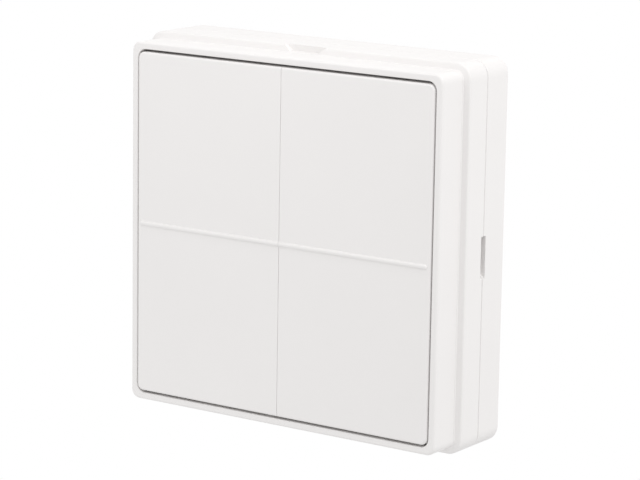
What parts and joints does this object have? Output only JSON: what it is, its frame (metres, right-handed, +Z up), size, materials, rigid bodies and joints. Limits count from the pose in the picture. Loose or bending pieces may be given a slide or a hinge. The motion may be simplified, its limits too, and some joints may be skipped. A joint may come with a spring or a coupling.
{
  "type": "wireless wall switch",
  "caption": "Square wireless wall switch: two tall rockers in a slim frame on a stepped battery housing that snaps onto a screw or tape wall base.",
  "frame": {"origin": "centre of the wall base's back face, which meets the wall", "axes": "+Y into the wall, +Z up, +X to the right as seen from the front"},
  "size_m": [0.083, 0.024, 0.083],
  "materials": {
    "rocker_plastic": "satin moulded white",
    "frame_plastic": "satin moulded white",
    "housing_plastic": "fine matt texture, white",
    "base_plastic": "fine matt texture, white",
    "pad_foam": "grey acrylic foam tape",
    "board_laminate": "green solder mask",
    "switch_shell": "black nylon",
    "plunger_plastic": "red acetal",
    "spring_wire": "spring steel wire",
    "tinned_lead": "tinned copper",
    "screw_steel": "zinc plated",
    "holder_plastic": "black heat-resistant plastic",
    "cell_steel": "nickel plated steel",
    "contact_metal": "plated spring bronze",
    "shield_sheet": "tinned sheet",
    "chip_epoxy": "black epoxy",
    "crystal_can": "metal lid",
    "small_ceramic": "ceramic chip body",
    "capacitor_can": "bare aluminium can",
    "antenna_wire": "copper alloy wire",
    "pairing_cap": "black plastic cap",
    "lamp_lens": "milky clear resin"
  },
  "bodies": {
    "wall_plate": {"wall_base": "base_plastic", "adhesive_pads": "pad_foam"},
    "switch_unit": {"housing": "housing_plastic", "circuit_board": "board_laminate", "board_screws": "screw_steel", "battery_holder": "holder_plastic", "coin_cell": "cell_steel", "battery_clip_positive": "contact_metal", "battery_leaf_negative": "contact_metal", "radio_shield": "shield_sheet", "radio_chip": "chip_epoxy", "helical_antenna": "antenna_wire", "control_chip": "chip_epoxy", "chip_leads": "tinned_lead", "quartz_crystal": "crystal_can", "small_components": "small_ceramic", "reservoir_capacitor": "capacitor_can", "pairing_switch_case": "switch_shell", "status_lamp": "lamp_lens", "switch_pins": "tinned_lead", "switch_case_left_lower": "switch_shell", "switch_spring_left_lower": "spring_wire", "switch_case_left_upper": "switch_shell", "switch_spring_left_upper": "spring_wire", "switch_case_right_lower": "switch_shell", "switch_spring_right_lower": "spring_wire", "switch_case_right_upper": "switch_shell", "switch_spring_right_upper": "spring_wire"},
    "front_trim": {"front_frame": "frame_plastic"},
    "left_rocker": {"rocker_left": "rocker_plastic"},
    "right_rocker": {"rocker_right": "rocker_plastic"},
    "pairing_key": {"pairing_button": "pairing_cap"},
    "plunger_left_lower": {"switch_plunger_left_lower": "plunger_plastic"},
    "plunger_left_upper": {"switch_plunger_left_upper": "plunger_plastic"},
    "plunger_right_lower": {"switch_plunger_right_lower": "plunger_plastic"},
    "plunger_right_upper": {"switch_plunger_right_upper": "plunger_plastic"}
  },
  "joints": [
    {"name": "unit_off_wall_base", "type": "slide", "parent": "wall_plate", "child": "switch_unit", "axis": [0, -1, 0], "range_m": [0, 0.02]},
    {"name": "frame_pull_off", "type": "slide", "parent": "switch_unit", "child": "front_trim", "axis": [0, -1, 0], "range_m": [0, 0.016]},
    {"name": "pairing_press", "type": "slide", "parent": "switch_unit", "child": "pairing_key", "axis": [0, -1, 0], "range_m": [0, 0.0003], "stiffness_N_per_m": 1500},
    {"name": "rocker_tilt_left", "type": "hinge", "parent": "switch_unit", "child": "left_rocker", "pos_m": [0, -0.01819, 0], "axis": [1, 0, 0], "range_deg": [-1.6, 1.6], "stiffness_Nm_per_rad": 1.2},
    {"name": "rocker_tilt_right", "type": "hinge", "parent": "switch_unit", "child": "right_rocker", "pos_m": [0, -0.01819, 0], "axis": [1, 0, 0], "range_deg": [-1.6, 1.6], "stiffness_Nm_per_rad": 1.2},
    {"name": "plunger_press_left_lower", "type": "slide", "parent": "switch_unit", "child": "plunger_left_lower", "axis": [0, 1, 0], "range_m": [-0.00074, 0.00074], "deforming": ["switch_spring_left_lower"]},
    {"name": "plunger_press_left_upper", "type": "slide", "parent": "switch_unit", "child": "plunger_left_upper", "axis": [0, 1, 0], "range_m": [-0.00074, 0.00074], "deforming": ["switch_spring_left_upper"]},
    {"name": "plunger_press_right_lower", "type": "slide", "parent": "switch_unit", "child": "plunger_right_lower", "axis": [0, 1, 0], "range_m": [-0.00074, 0.00074], "deforming": ["switch_spring_right_lower"]},
    {"name": "plunger_press_right_upper", "type": "slide", "parent": "switch_unit", "child": "plunger_right_upper", "axis": [0, 1, 0], "range_m": [-0.00074, 0.00074], "deforming": ["switch_spring_right_upper"]}
  ],
  "couplings": [
    {"joint": "plunger_press_left_lower", "follows": "rocker_tilt_left", "m_per_rad": 0.026},
    {"joint": "plunger_press_left_upper", "follows": "rocker_tilt_left", "m_per_rad": -0.026},
    {"joint": "plunger_press_right_lower", "follows": "rocker_tilt_right", "m_per_rad": 0.026},
    {"joint": "plunger_press_right_upper", "follows": "rocker_tilt_right", "m_per_rad": -0.026}
  ]
}
